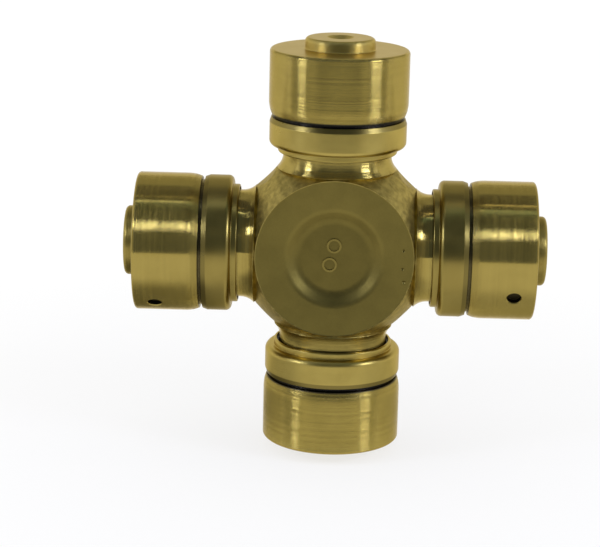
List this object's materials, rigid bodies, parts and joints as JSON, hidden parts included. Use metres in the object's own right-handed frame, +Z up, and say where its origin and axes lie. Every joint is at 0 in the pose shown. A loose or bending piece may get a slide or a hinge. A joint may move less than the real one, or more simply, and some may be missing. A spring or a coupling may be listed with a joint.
{
  "type": "universal joint cross",
  "caption": "Steel universal joint cross whose trunnions carry needle bearing cups with seals and end bosses, made to link the yokes of two shafts at an angle.",
  "frame": {"origin": "point where the two trunnion axes cross, at the middle of the body", "axes": "+Z up along the upright trunnions, +X along the level trunnions, Y through the thickness of the body"},
  "size_m": [0.1734, 0.057, 0.1734],
  "materials": {
    "forged_steel": "matt forged body, ground necks and trunnions, olive-gold tint",
    "ground_steel": "satin ground, fine lines round the axis",
    "can_steel": "drawn sheet steel, satin",
    "bearing_steel": "polished bearing steel",
    "seal_rubber": "matt black",
    "retainer_plastic": "moulded black plastic",
    "washer_plastic": "natural nylon"
  },
  "bodies": {
    "cross": {"cross": "forged_steel"},
    "top_cup": {"bearing_cup_top": "ground_steel", "thrust_washer_top": "washer_plastic", "needle_retainer_top": "retainer_plastic", "seal_top": "seal_rubber", "seal_can_top": "can_steel"},
    "top_needles": {"needle_rollers_top": "bearing_steel"},
    "bottom_cup": {"bearing_cup_bottom": "ground_steel", "thrust_washer_bottom": "washer_plastic", "needle_retainer_bottom": "retainer_plastic", "seal_bottom": "seal_rubber", "seal_can_bottom": "can_steel"},
    "bottom_needles": {"needle_rollers_bottom": "bearing_steel"},
    "left_cup": {"bearing_cup_left": "ground_steel", "thrust_washer_left": "washer_plastic", "needle_retainer_left": "retainer_plastic", "seal_left": "seal_rubber", "seal_can_left": "can_steel"},
    "left_needles": {"needle_rollers_left": "bearing_steel"},
    "right_cup": {"bearing_cup_right": "ground_steel", "thrust_washer_right": "washer_plastic", "needle_retainer_right": "retainer_plastic", "seal_right": "seal_rubber", "seal_can_right": "can_steel"},
    "right_needles": {"needle_rollers_right": "bearing_steel"}
  },
  "joints": [
    {"name": "top_cup_turn", "type": "hinge", "parent": "cross", "child": "top_cup", "pos_m": [0, 0, 0], "axis": [0, 0, 1], "continuous": true},
    {"name": "top_needles_orbit", "type": "hinge", "parent": "cross", "child": "top_needles", "pos_m": [0, 0, 0], "axis": [0, 0, 1], "continuous": true},
    {"name": "bottom_cup_turn", "type": "hinge", "parent": "cross", "child": "bottom_cup", "pos_m": [0, 0, 0], "axis": [0, 0, -1], "continuous": true},
    {"name": "bottom_needles_orbit", "type": "hinge", "parent": "cross", "child": "bottom_needles", "pos_m": [0, 0, 0], "axis": [0, 0, -1], "continuous": true},
    {"name": "left_cup_turn", "type": "hinge", "parent": "cross", "child": "left_cup", "pos_m": [0, 0, 0], "axis": [-1, 0, 0], "continuous": true},
    {"name": "left_needles_orbit", "type": "hinge", "parent": "cross", "child": "left_needles", "pos_m": [0, 0, 0], "axis": [-1, 0, 0], "continuous": true},
    {"name": "right_cup_turn", "type": "hinge", "parent": "cross", "child": "right_cup", "pos_m": [0, 0, 0], "axis": [1, 0, 0], "continuous": true},
    {"name": "right_needles_orbit", "type": "hinge", "parent": "cross", "child": "right_needles", "pos_m": [0, 0, 0], "axis": [1, 0, 0], "continuous": true}
  ],
  "couplings": [
    {"joint": "top_needles_orbit", "follows": "top_cup_turn", "ratio": 0.5466},
    {"joint": "bottom_needles_orbit", "follows": "bottom_cup_turn", "ratio": 0.5466},
    {"joint": "left_needles_orbit", "follows": "left_cup_turn", "ratio": 0.5466},
    {"joint": "right_needles_orbit", "follows": "right_cup_turn", "ratio": 0.5466}
  ]
}
